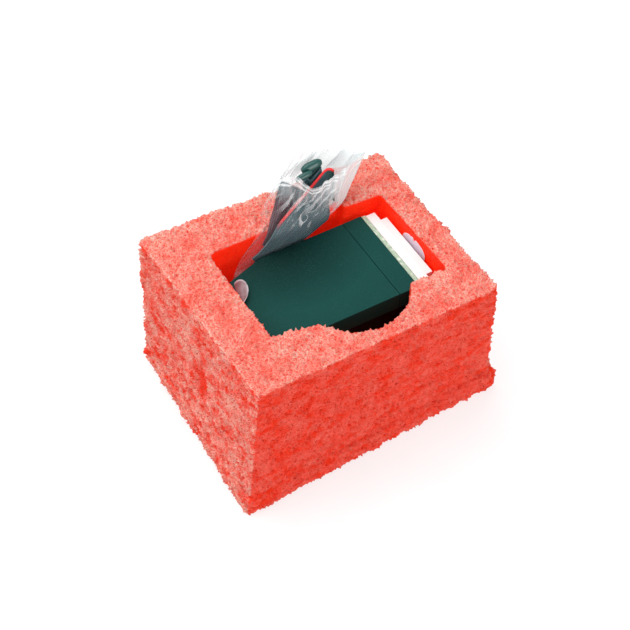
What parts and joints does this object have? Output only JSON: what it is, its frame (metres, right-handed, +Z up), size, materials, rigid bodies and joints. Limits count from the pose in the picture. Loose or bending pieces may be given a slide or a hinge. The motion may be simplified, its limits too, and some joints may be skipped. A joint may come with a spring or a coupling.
{
  "type": "packed foam block",
  "caption": "Rectangular foam packing block with a finger-notched pocket, holding a lift-out electronic module on a clear film strap and a bagged ribbon cable.",
  "frame": {"origin": "centre of the block's underside, at the bottom centre of the whole object's box", "axes": "+Z up, +X along the block's long side towards the module's connector end, -Y towards the wall with the finger notch"},
  "size_m": [0.1406, 0.1106, 0.105],
  "materials": {
    "foam": "red closed-cell polyethylene foam, cut faces showing a coarse pale-edged cell texture",
    "case_paint": "dark green satin finish on the sheet case",
    "circuit_board": "glass-epoxy board with a pale green cut edge",
    "connector_plastic": "white moulded plastic",
    "contacts": "gold-flashed contacts",
    "black_plastic": "black moulded plastic",
    "capacitor_can": "bright drawn can",
    "spacer_brass": "turned brass",
    "screw_steel": "zinc-plated",
    "clear_film": "clear polyethylene film, glossy and creased",
    "ribbon_pvc": "ribbed grey PVC with one red edge wire"
  },
  "bodies": {
    "foam": {"foam_base": "foam", "foam_block": "foam", "foam_floor_plug": "foam"},
    "module": {"case_body": "case_paint", "case_collar": "case_paint", "end_board": "circuit_board", "connector_housing": "connector_plastic", "contact_row_upper": "contacts", "contact_row_lower": "contacts", "main_board": "circuit_board", "board_header": "black_plastic", "processor_chip": "black_plastic", "memory_chip": "black_plastic", "driver_chip": "black_plastic", "capacitor_1": "capacitor_can", "capacitor_2": "capacitor_can", "board_spacer_1": "spacer_brass", "board_spacer_2": "spacer_brass", "board_spacer_3": "spacer_brass", "board_spacer_4": "spacer_brass", "case_screw_1": "screw_steel", "case_screw_2": "screw_steel", "case_screw_3": "screw_steel", "case_screw_4": "screw_steel", "lift_strap": "clear_film"},
    "bag": {"bag_film": "clear_film", "ribbon_cable": "ribbon_pvc", "cable_socket_a": "black_plastic", "socket_cover_a": "black_plastic", "cable_socket_b": "black_plastic", "socket_cover_b": "black_plastic"}
  },
  "joints": [
    {"name": "module_lift", "type": "slide", "parent": "foam", "child": "module", "axis": [0, 0, 1], "range_m": [0, 0.08]},
    {"name": "bag_lift", "type": "slide", "parent": "foam", "child": "bag", "axis": [0, 0, 1], "range_m": [0, 0.08]}
  ]
}
